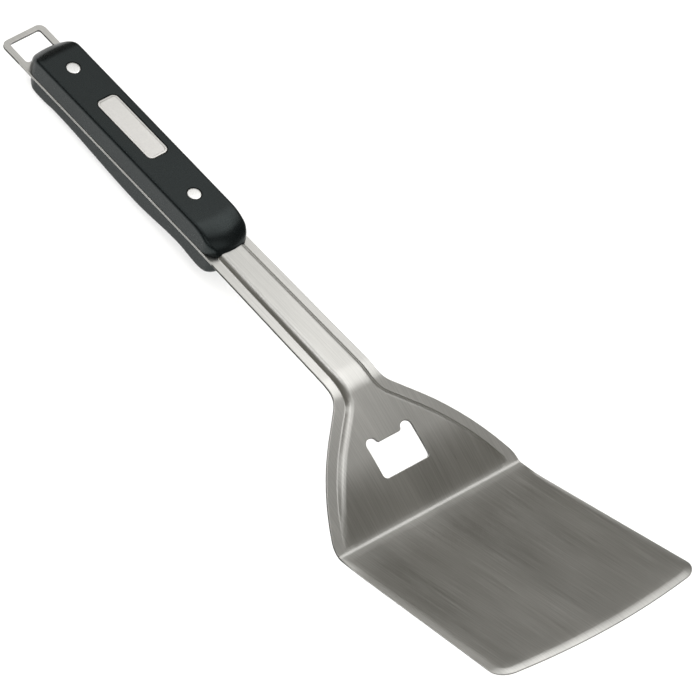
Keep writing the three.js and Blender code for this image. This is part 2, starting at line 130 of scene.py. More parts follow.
def smooth(x, low, high):
    """A step from 0 to 1 between two values, level at both ends."""
    t = np.clip((np.asarray(x, float) - low) / (high - low), 0, 1)
    return t * t * (3 - 2 * t)


class Chain:
    """Straight runs and arcs, each starting where the last one ends."""

    def __init__(self, x, y, heading, runs):
        self.starts, self.knots = [], []
        distance = 0.0
        for length, turn in runs:
            bend = turn / length if length else 0.0
            self.starts.append(distance)
            self.knots.append((x, y, heading, bend))
            chord = length * np.sinc(turn / (2 * np.pi))
            x += chord * math.cos(heading + turn / 2)
            y += chord * math.sin(heading + turn / 2)
            heading += turn
            distance += length
        self.length = distance

    def at(self, distance):
        """x, y and heading at these distances along the chain."""
        distance = np.asarray(distance, float)
        i = np.clip(np.searchsorted(self.starts, distance, side="right") - 1, 0, None)
        x, y, heading, bend = np.array(self.knots)[i].T
        t = distance - np.array(self.starts)[i]
        chord = t * np.sinc(bend * t / (2 * np.pi))
        middle = heading + bend * t / 2
        return x + chord * np.cos(middle), y + chord * np.sin(middle), heading + bend * t


def side_chain():
    """The middle of the steel seen from the side, from the loop's end to the front edge."""
    crest, crest_turn = arc(CREST_RADIUS, SHANK_PITCH - NECK_PITCH)
    sweep, sweep_turn = BLADE_SWEEP
    crease, crease_turn = arc(CREASE_RADIUS, NECK_PITCH - sweep_turn)
    runs = [
        (SHANK_LENGTH - crest / 2, 0),
        (crest, crest_turn),
        (NECK_LENGTH - (crest + crease) / 2, 0),
        (crease, crease_turn),
        (sweep, sweep_turn),
        (BLADE_LENGTH - sweep - crease / 2, 0),
    ]
    chain = Chain(0, 0, -SHANK_PITCH, runs)
    x, z, _ = chain.at(-REAR_END)
    return Chain(-x, -z, -SHANK_PITCH, runs)


SIDE = side_chain()


def on_steel(s, y, height):
    """Places points of the flat blank in the level frame, with the front edge bowed."""
    s, y, height = np.broadcast_arrays(np.asarray(s, float), y, height)
    bow = y**2 / (2 * FRONT_RADIUS) * np.clip(s / BLADE_LENGTH, 0, None) ** 3
    x, z, heading = SIDE.at(s - bow - REAR_END)
    return np.stack([x - height * np.sin(heading), y, z + height * np.cos(heading)], axis=-1)


def half_outline():
    """One side of the blank, from the middle of the loop's end to the middle of the front."""
    taper = math.atan((CREST_HALF_WIDTH - TANG_HALF_WIDTH) / TAPER_LENGTH)
    heel_turn, flank_turn = HEEL[1], FLANK[1]
    steepest = heel_turn + flank_turn
    bends = [
        (HEEL[0], heel_turn, 0),
        (FLANK[0], steepest, heel_turn),
        (WAIST_RADIUS, steepest, taper),
    ]
    rise = sum(r * (math.cos(low) - math.cos(high)) for r, high, low in bends)
    span = sum(r * (math.sin(high) - math.sin(low)) for r, high, low in bends)
    straight = (BLADE_HALF_WIDTH - CREST_HALF_WIDTH - rise) / math.sin(steepest)
    lead = 2.0
    tang = -REAR_END - lead - span - straight * math.cos(steepest) - LOOP["outer"] - TAPER_LENGTH
    side = (BLADE_LENGTH - BLADE_CORNER * (1 + math.sin(BLADE_FLARE))) / math.cos(BLADE_FLARE)
    runs = [
        (TANG_HALF_WIDTH - LOOP["outer"], 0),
        arc(LOOP["outer"], -math.pi / 2),
        (tang, 0),
        (0, taper),
        (TAPER_LENGTH / math.cos(taper), 0),
        arc(WAIST_RADIUS, steepest - taper),
        (straight, 0),
        arc(FLANK[0], -flank_turn),
        arc(HEEL[0], -heel_turn),
        (lead, 0),
        (0, BLADE_FLARE),
        (side, 0),
        arc(BLADE_CORNER, -(math.pi / 2 + BLADE_FLARE)),
    ]
    _, front_half, _ = Chain(REAR_END, 0, math.pi / 2, runs).at(sum(run[0] for run in runs))
    return Chain(REAR_END, 0, math.pi / 2, runs + [(float(front_half), 0)])


OUTLINE = half_outline()

# ---------------------------------------------------------------- closed loops in the flat


def rows_in_bends():
    """Values of s where the steel bends or its panel rises, close enough to look round."""
    crest, _ = arc(CREST_RADIUS, SHANK_PITCH - NECK_PITCH)
    crease, _ = arc(CREASE_RADIUS, NECK_PITCH - BLADE_SWEEP[1])
    return np.concatenate([
        np.arange(crease / 2 + 1.5, crease / 2 + BLADE_SWEEP[0] + 2, 1.5),
        np.linspace(-crease / 2 - 0.3, crease / 2 + 0.3, 14),
        np.linspace(-NECK_LENGTH - crest / 2 - 0.6, -NECK_LENGTH + crest / 2 + 0.6, 16),
        np.arange(-PANEL_FADE[1] - 1, -PANEL_FADE[0] + 1, 1.0),
        REAR_END + np.arange(PANEL_REAR[0] - 1, PANEL_REAR[1] + 1, 1.0),
    ])


def outline_loop(step=1.3):
    """Points and outward headings all the way round the blank."""
    distance = np.linspace(0, OUTLINE.length, int(OUTLINE.length / step))
    x, y, heading = OUTLINE.at(distance)
    along_side = (y > TANG_HALF_WIDTH - 1) & (np.abs(heading) < 1.2)
    extra = np.interp(rows_in_bends(), x[along_side], distance[along_side])
    distance = np.unique(np.round(np.concatenate([distance, extra]), 4))
    x, y, heading = OUTLINE.at(distance)
    outward = heading + math.pi / 2
    x = np.concatenate([x, x[-2:0:-1]])
    y = np.concatenate([y, -y[-2:0:-1]])
    normal = np.concatenate([outward, -outward[-2:0:-1]])
    return np.stack([x, y], axis=1), np.stack([np.cos(normal), np.sin(normal)], axis=1)


def arcs_loop(arcs, step=0.45):
    """A closed loop through arcs of (centre x, centre y, radius, from angle, to angle).

    Returns its points and the normals that point out of the opening, into the steel.
    """
    points, normals = [], []
    for x, y, radius, start, end in arcs:
        count = max(4, int(radius * abs(end - start) / step))
        side = 1 if end > start else -1
        for angle in np.linspace(start, end, count):
            outward = np.array([math.cos(angle), math.sin(angle)])
            points.append(np.array([x, y]) + radius * outward)
            normals.append(side * outward)
    filled_points, filled_normals = [], []
    for i, point in enumerate(points):
        following = points[(i + 1) % len(points)]
        gap = np.linalg.norm(following - point)
        pieces = max(1, int(gap / (2 * step)))
        for k in range(pieces):
            t = k / pieces
            if gap > 1e-6:
                filled_points.append(point * (1 - t) + following * t)
                filled_normals.append(normals[i])
    return np.array(filled_points), np.array(filled_normals)


def rectangle_arcs(x, y, length, width, radius):
    """Arcs of a rounded rectangle about (x, y)."""
    dx, dy = length / 2 - radius, width / 2 - radius
    quarter = math.pi / 2
    corners = [(dx, dy), (-dx, dy), (-dx, -dy), (dx, -dy)]
    return [(x + a, y + b, radius, k * quarter, (k + 1) * quarter) for k, (a, b) in enumerate(corners)]


def opener_arcs():
    """Arcs of the bottle opener: square at the hook, two round ears beside a tongue."""
    corner, tip, ear = OPENER_RADII["corner"], OPENER_RADII["tip"], OPENER_RADII["ear"]
    half = OPENER["half_width"]
    hook, tongue, far = -OPENER["hook"] - corner, -OPENER["tongue"] - tip, -OPENER["ear"] + ear
    sweep = math.acos(1 - (OPENER["ear"] - OPENER["tongue"]) / (tip + ear))
    tip_y = OPENER["tongue_half"] - tip * math.sin(sweep)
    ear_y = OPENER["tongue_half"] + ear * math.sin(sweep)
    quarter = math.pi / 2
    return [
        (hook, half - corner, corner, 0, quarter),
        (far, half - ear, ear, quarter, math.pi),
        (far, ear_y, ear, math.pi, math.pi + sweep),
        (tongue, tip_y, tip, sweep, 0),
        (tongue, -tip_y, tip, 0, -sweep),
        (far, -ear_y, ear, math.pi - sweep, math.pi),
        (far, -half + ear, ear, math.pi, 3 * quarter),
        (hook, -half + corner, corner, 3 * quarter, 4 * quarter),
    ]


def loop_arcs():
    """Arcs of the hanging loop's opening."""
    middle = REAR_END + LOOP["end_bar"] + LOOP["length"] / 2
    return rectangle_arcs(middle, 0, LOOP["length"], 2 * LOOP["half_width"], LOOP["inner"])


def circle_arcs(x, radius):
    """Arcs of a round hole on the middle line."""
    return [(x, 0, radius, k * math.pi / 2, (k + 1) * math.pi / 2) for k in range(4)]


# ---------------------------------------------------------------- the stamped steel


def wall_profile(t):
    """Height across the raised panel's wall: a sharp foot at 0, then a long round up to 1."""
    t = np.clip(t, 0, 1)
    eased = t * t / (t + WALL_FOOT) * (1 + WALL_FOOT)
    return 1 - (1 - eased) ** WALL_ROUND


def panel_margin(s):
    """Width of the flat flange between the outline and the foot of the panel's wall."""
    on_neck = smooth(s, -NECK_LENGTH, -NECK_LENGTH + WAIST_RADIUS)
    return PANEL_MARGIN[0] + (PANEL_MARGIN[1] - PANEL_MARGIN[0]) * on_neck


def panel_height(s, inset):
    """How far the panel stands above the flat, this far in from the outline."""
    rise = np.clip((-s - PANEL_FADE[0]) / (PANEL_FADE[1] - PANEL_FADE[0]), 0, 1)
    fade = rise * (2 - rise) * smooth(s - REAR_END, *PANEL_REAR)
    return PANEL_HEIGHT * fade * wall_profile((inset - panel_margin(s)) / PANEL_WALL)


def bevel_width(s):
    """Width of the ground edge, which grows from the crease to the front."""
    near, far = BEVEL_WIDTH
    return near + (far - near) * np.clip(s / BLADE_LENGTH, 0, 1) ** 0.75


def bevel_drop(s, inset):
    """How far the ground edge lies below the blade's face; it rolls over towards the edge."""
    run_in = np.clip(s / BEVEL_RUN_IN, 0, 1)
    return BEVEL_DEPTH * run_in * np.clip(1 - inset / bevel_width(s), 0, 1) ** BEVEL_ROLL


EDGE_ANGLES = np.radians([0, 30, 60, 90])
EDGE_INSETS = [*(STEEL_EDGE * (1 - np.cos(EDGE_ANGLES))), 2 * STEEL_EDGE]
WALL_INSETS = [-0.5, 0, 0.15, 0.35, 0.6, 0.9, 1.3, 1.7, 2.2, 2.7, 3.2, 3.8, 4.4]
BEVEL_STEPS = [0.25, 0.45, 0.65, 0.85, 1.0]  # of the bevel's width
BEVEL_START = 2.0  # ahead of the crease
BEND_ZONE = 3.5  # either side of the crease, where the grid reaches out to the edge
GRID_CLEARANCE = {"blade": 6.6, "behind": 10.8, "bend": 0.9, "hole": 1.2}
GRID_STEPS = {"along": 6.0, "across": 5.5, "across_bends": 2.5}
FAR = 99.0  # stands for any distance beyond the rings
TANG_EDGE_SHADE = 0.45  # share of the painted shade that the tang's edges get between the scales, where they are painted less dark


def edge_rounding(inset):
    """How far the skin falls away this close to a cut edge."""
    short = np.clip(STEEL_EDGE - inset, 0, STEEL_EDGE)
    return STEEL_EDGE - np.sqrt(STEEL_EDGE**2 - short**2)


def outline_rings(points, normals):
    """Points inside the outline that carry the edge, the ground bevel and the panel's wall.

    Each ring is its points, their distance from the outline and their distance from a cut edge.
    """
    s = points[:, 0]
    widths = [(np.full(len(s), inset), s < BLADE_LENGTH + 1) for inset in EDGE_INSETS]
    widths += [(bevel_width(s) * step, s > BEVEL_START) for step in BEVEL_STEPS]
    on_panel = (s < -PANEL_FADE[0] + 1) & (s > REAR_END + PANEL_REAR[0] - 1)
    widths += [(panel_margin(s) + offset, on_panel) for offset in WALL_INSETS]
    rings = []
    for inset, kept in widths:
        rings.append(((points - inset[:, None] * normals)[kept], inset[kept], inset[kept]))
    return rings


def inside(loop, points):
    """Which points lie inside a closed loop."""
    x, y = points[:, 0][:, None], points[:, 1][:, None]
    x0, y0 = loop.T
    x1, y1 = np.roll(loop, -1, axis=0).T
    crosses = (y0 > y) != (y1 > y)
    with np.errstate(divide="ignore", invalid="ignore"):
        left = x < x0 + (y - y0) * (x1 - x0) / (y1 - y0)
    return (np.sum(crosses & left, axis=1) % 2).astype(bool)


def nearest(loop, points):
    """Distance from each point to the closest corner of a loop."""
    gaps = points[:, None, :] - loop[None, :, :]
    return np.sqrt((gaps**2).sum(axis=2).min(axis=1))


def steel_grid(outline, holes):
    """Points over the flats and the bends, clear of the outline's rings and of the holes."""
    flats = np.arange(REAR_END + 3, BLADE_LENGTH, GRID_STEPS["along"])
    bends = rows_in_bends()
    flats = [s for s in flats if np.abs(bends - s).min() > 1.5]
    rows = [(s, GRID_STEPS["across"]) for s in flats]
    rows += [(s, GRID_STEPS["across_bends"]) for s in bends]
    points = []
    for s, step in rows:
        count = int(BLADE_HALF_WIDTH * 1.2 / step)
        points += [(s, k * step) for k in range(-count, count + 1)]
    points = np.array(points)
    points = points[inside(outline, points)]
    s = points[:, 0]
    clearance = np.where(s > 0, GRID_CLEARANCE["blade"], GRID_CLEARANCE["behind"])
    clearance[np.abs(s) < BEND_ZONE] = GRID_CLEARANCE["bend"]
    points = points[nearest(outline, points) > clearance]
    for hole in holes:
        clear = nearest(hole, points) > GRID_CLEARANCE["hole"]
        points = points[~inside(hole, points) & clear]
    return points


def stamped_skin():
    """The blank in the flat: its points, their distances from the outline and from a cut edge, its
    triangles, and the loops of points along its edges."""
    outline, outward = outline_loop()
    hole_arcs = [opener_arcs(), loop_arcs()]
    hole_arcs += [circle_arcs(REAR_END + x, RIVET_TUBE + FIT_GAP) for x in RIVETS.values()]
    holes = [arcs_loop(arcs) for arcs in hole_arcs]
    rings = outline_rings(outline, outward)
    loops = [range(len(outline))]
    for points, normals in holes:
        start = sum(len(ring[0]) for ring in rings)
        loops.append(range(start, start + len(points)))
        far = np.full(len(points), FAR)
        rings += [(points + inset * normals, far, np.full(len(points), inset)) for inset in EDGE_INSETS]
    grid = steel_grid(outline, [points for points, _ in holes])
    rings.append((grid, np.full(len(grid), FAR), np.full(len(grid), FAR)))
    points, from_outline, from_edge = (np.concatenate(parts) for parts in zip(*rings))
    edges = [(loop[k - 1], loop[k]) for loop in loops for k in range(len(loop))]
    corners = [Vector(point) for point in points]
    found, _, faces, source, _, _ = delaunay_2d_cdt(corners, edges, [], 0, 1e-5)
    first = np.array([ids[0] for ids in source])
    place = {k: i for i, ids in enumerate(source) for k in ids}
    loops = [[place[k] for k in loop] for loop in loops]
    flat = np.array([tuple(p) for p in found])
    faces = np.array(faces)
    middles = flat[faces].mean(axis=1)
    keep = inside(outline, middles)
    for hole, _ in holes:
        keep &= ~inside(hole, middles)
    return flat, from_outline[first], from_edge[first], faces[keep], loops


def turner_body():
    """The whole steel sheet: a top and a bottom skin, joined round the outline and the holes."""
    flat, from_outline, from_edge, faces, loops = stamped_skin()
    s, y = flat.T
    lift = panel_height(s, from_outline)
    rounding = edge_rounding(from_edge)
    top = on_steel(s, y, SHEET / 2 + lift - bevel_drop(s, from_outline) - rounding)
    bottom = on_steel(s, y, -SHEET / 2 + lift + rounding)
    count = len(flat)
    all_faces = [tuple(face) for face in faces]
    all_faces += [tuple(face[::-1] + count) for face in faces]
    # Faces round the outline and the holes get painted shade, less of it on the tang between the
    # scales.
    painted_edge_shade = [0.0] * len(all_faces)
    for loop in loops:
        for a, b in zip(loop, loop[1:] + loop[:1]):
            all_faces.append((a, b, b + count, a + count))
            between_scales = UPPER["rear"][0] < s[a] - REAR_END < UPPER["front"][0]
            painted_edge_shade.append(TANG_EDGE_SHADE if between_scales else 1.0)
    blank = np.concatenate([flat, flat]) / 1000
    points = np.concatenate([top, bottom])
    return mesh_piece("turner_body_steel", points, all_faces, LEVEL, blank, painted_edge_shade)


# ---------------------------------------------------------------- placing and making pieces


def level_frame():
    """From the level frame in millimetres to the model's frame in metres."""
    face = next(m for m in frame["record"]["mounts"] if m["name"] == "blade_underside")
    tilt = math.atan2(face["axis"][0], -face["axis"][2])
    turn = Matrix.Rotation(-tilt, 4, "Y") @ Matrix.Scale(0.001, 4)
    low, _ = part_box("turner_body")
    # The loop's end is the farthest point back along x.
    rear = turn @ Vector(on_steel(REAR_END, 0, SHEET / 2))
    underside = turn @ Vector(on_steel(BLADE_LENGTH / 2, 0, -SHEET / 2))
    middle = Vector(face["pos_m"])
    along = Vector((math.cos(tilt), 0, math.sin(tilt)))
    normal = Vector((-math.sin(tilt), 0, math.cos(tilt)))
    shift = normal * (middle - underside).dot(normal)
    slide = (low[0] - rear.x - shift.x) / along.x
    return Matrix.Translation(shift + along * slide) @ turn


def handle_frame():
    """From the handle's own frame: x from the loop's end along the tang, z out of the steel."""
    x, _, z = on_steel(REAR_END, 0, 0)
    return LEVEL @ Matrix.Translation((x, 0, z)) @ Matrix.Rotation(SHANK_PITCH, 4, "Y")


LEVEL = level_frame()
HANDLE = handle_frame()


def mesh_piece(name, points, faces, place, blank=None, painted_edge_shade=None):
    """A closed mesh object from points in millimetres, welded, facing out and smooth.

    blank gives each point's place on the flat blank; the last argument gives each face its share of
    painted shade, which darkens the faces of cut edges.
    """
    mesh = bpy.data.meshes.new(name)
    mesh.from_pydata([tuple(p) for p in points], [], [tuple(int(i) for i in f) for f in faces])
    if blank is not None:
        layer = mesh.uv_layers.new(name="blank")
        corners = np.array([loop.vertex_index for loop in mesh.loops])
        layer.data.foreach_set("uv", blank[corners].ravel())
        mesh.attributes.new("painted_edge_shade", "FLOAT", "FACE").data.foreach_set("value", painted_edge_shade)
    mesh.transform(place)
    shape = bmesh.new()
    shape.from_mesh(mesh)
    bmesh.ops.remove_doubles(shape, verts=shape.verts, dist=2e-6)
    bmesh.ops.dissolve_degenerate(shape, edges=shape.edges, dist=1e-6)
    bmesh.ops.recalc_face_normals(shape, faces=shape.faces)
    shape.to_mesh(mesh)
    shape.free()
    mesh.shade_smooth()
    mesh.set_sharp_from_angle(angle=math.radians(38))
    piece = bpy.data.objects.new(name, mesh)
    bpy.context.scene.collection.objects.link(piece)
    return piece


def finish_piece(piece, node, surface):
    """Gives a piece its material, hangs it under the root body and hides the model's part it replaces.
    """
    piece.data.materials.clear()
    piece.data.materials.append(surface)
    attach(piece, "root")
    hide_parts(node)


def carve(piece, cutters):
    """Cuts other closed pieces out of this one and throws the cutters away."""
    for cutter in cutters:
        step = piece.modifiers.new("carve", "BOOLEAN")
        step.operation = "DIFFERENCE"
        step.solver = "EXACT"
        step.object = cutter
    bpy.context.view_layer.update()
    evaluated = piece.evaluated_get(bpy.context.evaluated_depsgraph_get())
    carved = bpy.data.meshes.new_from_object(evaluated)
    piece.modifiers.clear()
    piece.data = carved
    carved.shade_smooth()
    carved.set_sharp_from_angle(angle=math.radians(32))
    for cutter in cutters:
        bpy.data.objects.remove(cutter)
    weigh = piece.modifiers.new("flat_faces_stay_flat", "WEIGHTED_NORMAL")
    weigh.keep_sharp = True


def prism(name, loop, rings):
    """A closed solid through rings of one loop, each grown by an offset and set at a height."""
    points, normals = loop
    count = len(points)
    corners = []
    for grow, height in rings:
        ring = points + grow * normals
        corners += [(x, y, height) for x, y in ring]
    faces = [tuple(range(count)), tuple(range((len(rings) - 1) * count, len(rings) * count))]
    for k in range(len(rings) - 1):
        for i in range(count):
            j = (i + 1) % count
            a, b = k * count, (k + 1) * count
            faces.append((a + i, a + j, b + j, b + i))
    return mesh_piece(name, corners, faces, HANDLE)


def circle(x, radius, sides=64):
    """Points and outward normals of a circle on the handle's middle line."""
    angles = np.arange(sides) * 2 * math.pi / sides
    spokes = np.stack([np.cos(angles), np.sin(angles)], axis=1)
    return np.array([x, 0]) + radius * spokes, spokes


# ---------------------------------------------------------------- handle scales


def end_inset(t, length, depth):
    """How far a surface has drawn in at distance t from its end, for an elliptical end."""
    left = np.clip((length - np.maximum(t, 0)) / length, 0, 1)
    return depth * (1 - np.sqrt(1 - left**2))


def upper_thickness(x):
    """The upper scale is as thick all along."""
    return np.full_like(x, UPPER_THICKNESS)


def lower_thickness(x):
    """Swells and finger grooves, eased from one to the next."""
    thickness = np.full_like(x, GROOVES[0][1])
    for (low, before), (high, after) in zip(GROOVES, GROOVES[1:]):
        thickness += (after - before) * smooth(x, low, high)
    return thickness


def scale_thickness(ends, full, x):
    """Thickness of a scale at x, with its two rounded ends."""
    (rear, rear_length), (front, front_length) = ends["rear"][:2], ends["front"][:2]
    full = full(x)
    return full - end_inset(x - rear, rear_length, full) - end_inset(front - x, front_length, full)


def scale_section(half_width, thickness):
    """Half of one cross-section: eased at the seam, upright, then rounded onto the flat face."""
    seam = min(0.35, 0.15 * thickness)
    edge = min(2.0, 0.8 * thickness)
    half = [(half_width - seam + seam * math.sin(a), seam - seam * math.cos(a))
            for a in np.radians([0, 30, 60, 90])]
    half += [(half_width, seam + t * (thickness - seam - edge)) for t in (0.33, 0.66)]
    half += [(half_width - edge + edge * math.cos(a), thickness - edge + edge * math.sin(a))
             for a in np.radians(np.linspace(0, 90, 10))]
    half += [(t * (half_width - edge), thickness) for t in (0.92, 0.6, 0.3)]
    return half


def scale_stations(ends):
    """Places of a scale's cross-sections, close together where its ends curve in."""
    ease = 1 - np.cos(np.linspace(0, math.pi / 2, 30))
    (rear, rear_length), (front, front_length) = ends["rear"][:2], ends["front"][:2]
    middle = np.arange(rear + rear_length + 2, front - front_length - 1, 2.0)
    return np.concatenate([rear + rear_length * ease, middle, (front - front_length * ease)[::-1]])


def scale_piece(name, ends, full, direction):
    """One handle scale; direction is 1 above the tang and -1 below it."""
    rear, rear_length, rear_bow, rear_corner = ends["rear"]
    front, front_length, front_bow, front_corner = ends["front"]
    stations = scale_stations(ends)
    half_widths = SCALE_HALF_WIDTH - end_inset(stations - rear, rear_corner, rear_corner)
    half_widths -= end_inset(front - stations, front_corner, front_corner)
    nose = smooth(stations, front - 2 * front_length, front) * front_bow
    tail = (1 - smooth(stations, rear, rear + rear_length)) * rear_bow
    base = SHEET / 2 + SEAM_GAP
    points, faces = [], []
    for x, half_width, thickness, bow in zip(
        stations, half_widths, scale_thickness(ends, full, stations), tail - nose
    ):
        half = scale_section(half_width, max(thickness, 1e-3))
        section = half + [(0, thickness)] + [(-y, z) for y, z in reversed(half)]
        for y, z in section:
            points.append((x + bow * (y / SCALE_HALF_WIDTH) ** 2, y, direction * (base + z)))
    width = len(section)
    for j in range(len(stations) - 1):
        a, b = j * width, (j + 1) * width
        for k in range(width):
            following = (k + 1) % width
            faces.append((a + k, b + k, b + following, a + following))
    for start in (0, (len(stations) - 1) * width):
        faces.append(tuple(range(start, start + width)))
    return mesh_piece(name, points, faces, HANDLE)


UPPER_FACE = SHEET / 2 + SEAM_GAP + UPPER_THICKNESS


def lower_face(x):
    """Height of the lower scale's outer face at x."""
    x = np.array([float(x)])
    return -(SHEET / 2 + SEAM_GAP + float(scale_thickness(LOWER, lower_thickness, x)[0]))


def seat_cutters(x, face, out):
    """The bore and the counterbore of one rivet; out is 1 above the tang and -1 below it."""
    bore = prism("bore", circle(x, RIVET_TUBE + FIT_GAP), [(0, 0), (0, face + out)])
    floor = face - out * (RIVET_HEAD_THICKNESS + FIT_GAP)
    rings = [(0, floor), (0, face - out * 0.12), (0.12, face + out * 0.01), (0.12, face + 3 * out)]
    return [bore, prism("seat", circle(x, RIVET_HEAD + FIT_GAP), rings)]


def plate_recess():
    """The pocket for the name plate and its tape, with an eased rim."""
    length, width = PLATE["length"] + 2 * PLATE_GAP, PLATE["width"] + 2 * PLATE_GAP
    corner = PLATE["corner"] + PLATE_GAP
    arcs = rectangle_arcs(PLATE["centre"], PLATE["offset"], length, width, corner)
    floor = UPPER_FACE - PLATE_THICKNESS - TAPE_THICKNESS - 2 * LAYER_GAP
    rings = [(0, floor), (0, UPPER_FACE - 0.15), (0.15, UPPER_FACE + 0.01), (0.15, UPPER_FACE + 3)]
    return prism("recess", arcs_loop(arcs), rings)


def panel_relief():
    """Room under the upper scale's nose for the raised panel that runs in beneath it."""
    gap = 0.15
    half_width = CREST_HALF_WIDTH - (SHANK_LENGTH - UPPER["front"][0]) * (
        (CREST_HALF_WIDTH - TANG_HALF_WIDTH) / TAPER_LENGTH
    )
    across = np.linspace(0, PANEL_WALL, 9)
    heights = SHEET / 2 + gap + PANEL_HEIGHT * wall_profile(across / PANEL_WALL)
    edge = half_width - PANEL_MARGIN[0] + gap - across
    profile = [(edge[0], -1.0), *zip(edge, heights)]
    profile = profile + [(-y, z) for y, z in reversed(profile)]
    near, far = PANEL_REAR[0] - 1, UPPER["front"][0] + 5
    points = [(x, y, z) for x in (near, far) for y, z in profile]
    count = len(profile)
    faces = [tuple(range(count)), tuple(range(count, 2 * count))]
    faces += [(k, (k + 1) % count, (k + 1) % count + count, k + count) for k in range(count)]
    return mesh_piece("relief", points, faces, HANDLE)


def handle_scales(surface):
    """Both scales, with the room for the rivets, the plate and the panel cut out of them."""
    upper = scale_piece("upper_scale_resin", UPPER, upper_thickness, 1)
    cutters = [plate_recess(), panel_relief()]
    for x in RIVETS.values():
        cutters += seat_cutters(x, UPPER_FACE, 1)
    carve(upper, cutters)
    finish_piece(upper, "upper_scale", surface)
    lower = scale_piece("lower_scale_resin", LOWER, lower_thickness, -1)
    cutters = []
    for x in RIVETS.values():
        cutters += seat_cutters(x, lower_face(x), -1)
    carve(lower, cutters)
    finish_piece(lower, "lower_scale", surface)


# ---------------------------------------------------------------- rivets and name plate


def turned(name, x, profile, sides=64):
    """A solid turned about the upright line through x, from (radius, height) points off the axis."""
    loop = circle(x, 0, sides)
    return prism(name, loop, profile)


def head_rings(face, out):
    """Rings over a rivet head: a slightly domed face with a rounded rim."""
    back = face - out * RIVET_HEAD_THICKNESS
    crown = 0.12
    rings = [(RIVET_HEAD - 0.1, back), (RIVET_HEAD, back + out * 0.1)]
    for a in np.radians([0, 25, 50, 75]):
        radius = RIVET_HEAD - 0.35 * (1 - math.cos(a))
        rings.append((radius, face - out * (crown + 0.28 * (1 - math.sin(a)))))
    for t in (0.8, 0.6, 0.4, 0.2, 0.02):
        rings.append((t * RIVET_HEAD, face - out * crown * t**2))
    return rings


def rivet_pieces(place, x, surface):
    """The half with the tube, let into the upper scale, and the half with the pin below."""
    bore, pin = 1.7, 1.4
    lower = lower_face(x)
    tube_end = lower + RIVET_HEAD_THICKNESS + FIT_GAP + 1
    roof = UPPER_FACE - RIVET_HEAD_THICKNESS
    tube = [(0.02, roof), (bore, roof), (bore, tube_end), (RIVET_TUBE, tube_end), (RIVET_TUBE, roof)]
    piece = turned(f"{place}_rivet_tube_metal", x, tube + head_rings(UPPER_FACE, 1))
    finish_piece(piece, f"{place}_rivet_tube", surface)
    tip = roof - 1
    shaft = [(0.02, tip), (pin - 0.2, tip), (pin, tip - 0.2), (pin, lower + RIVET_HEAD_THICKNESS)]
    piece = turned(f"{place}_rivet_pin_metal", x, shaft + head_rings(lower, -1))
    finish_piece(piece, f"{place}_rivet_pin", surface)


def plate_pieces(plate_surface, tape_surface):
    """The blank plate with its raised rim, and the adhesive pad below it."""
    size = (PLATE["length"], PLATE["width"], PLATE["corner"])
    loop = arcs_loop(rectangle_arcs(PLATE["centre"], PLATE["offset"], *size))
    back = UPPER_FACE - PLATE_THICKNESS
    rings = [(-0.1, back), (0, back + 0.1)]
    for a in np.radians([0, 22, 45, 68, 90]):
        rings.append((-0.4 * (1 - math.cos(a)), UPPER_FACE - 0.4 * (1 - math.sin(a))))
    rings += [(-1.1, UPPER_FACE), (-1.4, UPPER_FACE - 0.25), (-1.7, UPPER_FACE - 0.25)]
    piece = prism("name_plate_metal", loop, rings)
    finish_piece(piece, "name_plate", plate_surface)
    tape_top = back - LAYER_GAP
    rings = [(-0.5, tape_top - TAPE_THICKNESS), (-0.5, tape_top)]
    piece = prism("name_plate_tape_foam", loop, rings)
    finish_piece(piece, "name_plate_tape", tape_surface)


# ---------------------------------------------------------------- surfaces


